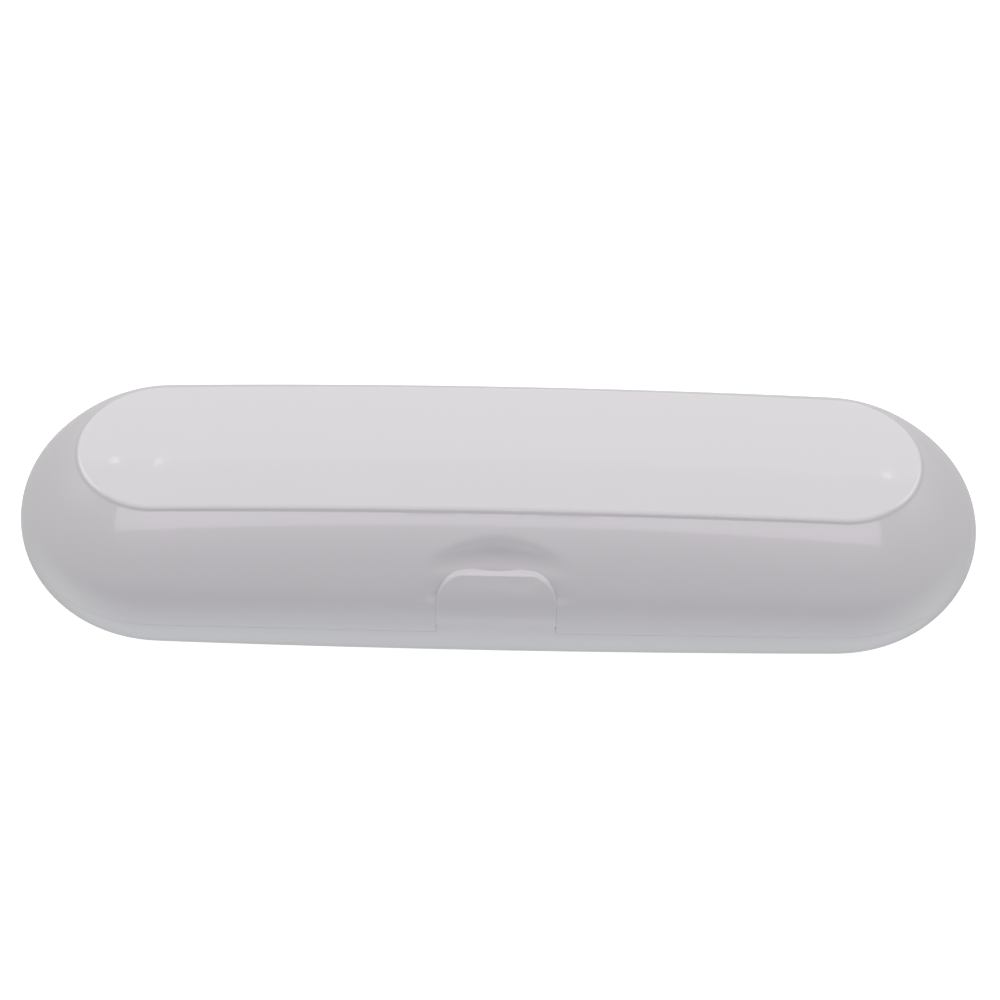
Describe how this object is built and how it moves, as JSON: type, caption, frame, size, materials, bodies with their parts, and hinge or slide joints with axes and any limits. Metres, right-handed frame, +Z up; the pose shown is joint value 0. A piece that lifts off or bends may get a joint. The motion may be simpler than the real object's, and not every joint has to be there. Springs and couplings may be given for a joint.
{
  "type": "toothbrush travel case",
  "caption": "Clam-shell travel case with round ends, raised lid panel, front pull latch and moulded inserts that hold an electric toothbrush handle and brush heads.",
  "frame": {"origin": "centre of the flat underside that the closed case stands on", "axes": "+X along the case, -Y to the front with the latch, +Z up"},
  "size_m": [0.21, 0.0693, 0.0407],
  "materials": {
    "shell": "polished white ABS, faintly lilac, with fine flow ripple and light handling marks",
    "insert": "fine-grained matt white polypropylene",
    "pin": "drawn stainless wire"
  },
  "bodies": {
    "base": {"base_shell": "shell", "base_tray": "insert", "hinge_pin_left": "pin", "hinge_pin_right": "pin", "latch_pin": "pin"},
    "lid": {"lid_shell": "shell", "lid_liner": "insert"},
    "latch": {"latch_tab": "shell", "latch_spring": "pin"}
  },
  "joints": [
    {"name": "lid_hinge", "type": "hinge", "parent": "base", "child": "lid", "pos_m": [0, 0.0344, 0.0173], "axis": [-1, 0, 0], "range_deg": [0, 163]},
    {"name": "latch_pull", "type": "hinge", "parent": "base", "child": "latch", "pos_m": [0, -0.0301, 0.0199], "axis": [1, 0, 0], "range_deg": [0, 27], "stiffness_Nm_per_rad": 0.004, "springref_deg": -6.88}
  ]
}
